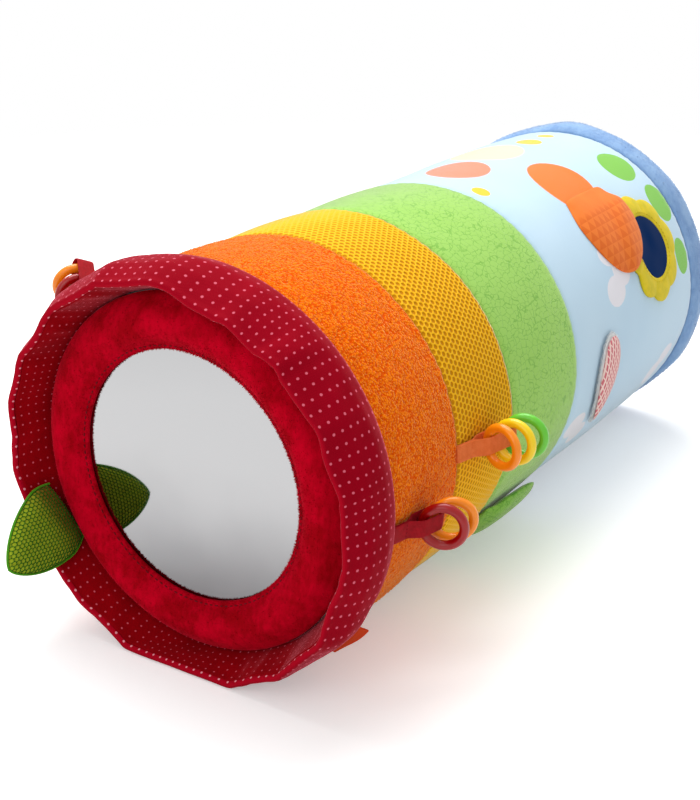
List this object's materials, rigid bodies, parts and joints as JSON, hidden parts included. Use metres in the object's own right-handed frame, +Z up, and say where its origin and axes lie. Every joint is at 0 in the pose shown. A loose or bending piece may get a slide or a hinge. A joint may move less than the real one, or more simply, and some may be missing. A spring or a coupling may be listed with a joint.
{
  "type": "soft crawling roll",
  "caption": "Baby's stuffed fabric crawling roll in coloured bands, with a mirror in a deep cuff at one end, rings on ribbon straps and sewn-on flaps.",
  "frame": {"origin": "middle of the flat that the roll rests on, half way along it without the leaf", "axes": "+Y along the roll from the mirror end to the closed rear end, +Z up, +X towards the side with the ring straps and the side mirror"},
  "size_m": [0.2572, 0.5166, 0.2185],
  "materials": {
    "filling": "white fibre filling",
    "foam": "foam disc",
    "mirror_film": "safety mirror film",
    "red_plush": "short velvet plush",
    "red_dotted_cloth": "woven cotton with small pale dots",
    "orange_terry": "looped terry",
    "yellow_mesh": "honeycomb mesh knit",
    "green_cloth": "smooth cotton with a fine darker crackle print",
    "sky_cloth": "smooth printed cotton",
    "blue_plush": "short velvet plush",
    "yellow_petal_cloth": "quilted cotton",
    "orange_flap_cloth": "cotton with a scale pattern",
    "white_terry": "fluffy white terry",
    "pink_check_cloth": "small pink and white check",
    "green_leaf_cloth": "olive to yellow cotton under a green net",
    "green_net": "open mesh net",
    "tag_cloth": "blank woven tag",
    "red_ribbon": "woven ribbon",
    "orange_ribbon": "woven ribbon",
    "red_plastic": "satin moulded plastic",
    "orange_plastic": "satin moulded plastic",
    "yellow_plastic": "satin moulded plastic",
    "green_plastic": "satin moulded plastic"
  },
  "bodies": {
    "roll": {"filling_core": "filling", "mirror_support": "foam", "front_mirror": "mirror_film", "plush_ring": "red_plush", "cuff_outer": "red_dotted_cloth", "cuff_lining": "red_dotted_cloth", "orange_band": "orange_terry", "yellow_band": "yellow_mesh", "green_band": "green_cloth", "sky_band": "sky_cloth", "blue_end_ring": "blue_plush", "rear_panel": "blue_plush", "petal_surround": "yellow_petal_cloth", "side_mirror": "mirror_film"},
    "leaf": {"front_leaf": "green_leaf_cloth", "front_leaf_net": "green_net"},
    "green_flap": {"green_leaf_flap": "green_cloth"},
    "wing": {"wing_backing": "white_terry", "wing_front": "pink_check_cloth"},
    "peek_flap": {"peek_flap": "orange_flap_cloth"},
    "tag": {"seam_tag": "tag_cloth"},
    "red_strap": {"red_strap": "red_ribbon"},
    "red_ring": {"red_ring": "red_plastic"},
    "red_strap_orange_ring": {"red_strap_orange_ring": "orange_plastic"},
    "orange_strap": {"orange_strap": "orange_ribbon"},
    "orange_ring": {"orange_ring": "orange_plastic"},
    "yellow_ring": {"yellow_ring": "yellow_plastic"},
    "green_ring": {"green_ring": "green_plastic"},
    "far_red_strap": {"far_red_strap": "red_ribbon"},
    "far_red_ring": {"far_red_ring": "red_plastic"},
    "far_orange_ring": {"far_orange_ring": "orange_plastic"}
  },
  "joints": [
    {"name": "leaf_bend", "type": "hinge", "parent": "roll", "child": "leaf", "pos_m": [-0.08737, -0.223, 0.06266], "axis": [-0.3959, -0.2585, 0.8812], "range_deg": [-4, 18], "stiffness_Nm_per_rad": 0.05},
    {"name": "green_flap_lift", "type": "hinge", "parent": "roll", "child": "green_flap", "pos_m": [0.0792, -0.0682, 0.03209], "axis": [-0.6691, 0, -0.7431], "range_deg": [0, 110], "stiffness_Nm_per_rad": 0.05},
    {"name": "wing_lift", "type": "hinge", "parent": "roll", "child": "wing", "pos_m": [0.10505, 0.0745, 0.08864], "axis": [0.1392, 0, 0.9903], "range_deg": [-1, 100], "stiffness_Nm_per_rad": 0.05},
    {"name": "peek_flap_lift", "type": "hinge", "parent": "roll", "child": "peek_flap", "pos_m": [0.06066, 0.1065, 0.19333], "axis": [0, -1, 0], "range_deg": [0, 130]},
    {"name": "tag_bend", "type": "hinge", "parent": "roll", "child": "tag", "pos_m": [0.07488, -0.2042, 0.02852], "axis": [-0.7071, 0, -0.7071], "range_deg": [-10, 45], "stiffness_Nm_per_rad": 0.01},
    {"name": "red_strap_lift", "type": "hinge", "parent": "roll", "child": "red_strap", "pos_m": [0.10641, -0.1976, 0.09034], "axis": [-0.1219, 0, -0.9925], "range_deg": [0, 75], "stiffness_Nm_per_rad": 0.02},
    {"name": "red_ring_swing", "type": "hinge", "parent": "red_strap", "child": "red_ring", "pos_m": [0.11057, -0.17602, 0.08983], "axis": [-0.1219, 0, -0.9925], "range_deg": [-4, 60]},
    {"name": "red_strap_orange_ring_swing", "type": "hinge", "parent": "red_strap", "child": "red_strap_orange_ring", "pos_m": [0.11193, -0.16896, 0.08966], "axis": [-0.1219, 0, -0.9925], "range_deg": [-45, 4]},
    {"name": "orange_strap_lift", "type": "hinge", "parent": "roll", "child": "orange_strap", "pos_m": [0.10623, -0.1325, 0.10934], "axis": [0.0558, 0, -0.9984], "range_deg": [0, 75], "stiffness_Nm_per_rad": 0.02},
    {"name": "orange_ring_swing", "type": "hinge", "parent": "orange_strap", "child": "orange_ring", "pos_m": [0.11149, -0.11137, 0.10964], "axis": [0.0558, 0, -0.9984], "range_deg": [-2, 45]},
    {"name": "yellow_ring_swing", "type": "hinge", "parent": "orange_strap", "child": "yellow_ring", "pos_m": [0.11323, -0.10438, 0.10974], "axis": [0.0558, 0, -0.9984], "range_deg": [-7, 7]},
    {"name": "green_ring_swing", "type": "hinge", "parent": "orange_strap", "child": "green_ring", "pos_m": [0.11497, -0.09739, 0.10983], "axis": [0.0558, 0, -0.9984], "range_deg": [-60, 2]},
    {"name": "far_red_strap_lift", "type": "hinge", "parent": "roll", "child": "far_red_strap", "pos_m": [-0.08448, -0.1976, 0.16941], "axis": [0.6157, 0, 0.788], "range_deg": [0, 38], "stiffness_Nm_per_rad": 0.02},
    {"name": "far_red_ring_swing", "type": "hinge", "parent": "far_red_strap", "child": "far_red_ring", "pos_m": [-0.1004, -0.18292, 0.18185], "axis": [-0.4632, -0.809, 0.3619], "range_deg": [-4, 5]},
    {"name": "far_orange_ring_swing", "type": "hinge", "parent": "far_red_strap", "child": "far_orange_ring", "pos_m": [-0.10499, -0.17869, 0.18544], "axis": [-0.4632, -0.809, 0.3619], "range_deg": [-60, 4]}
  ]
}
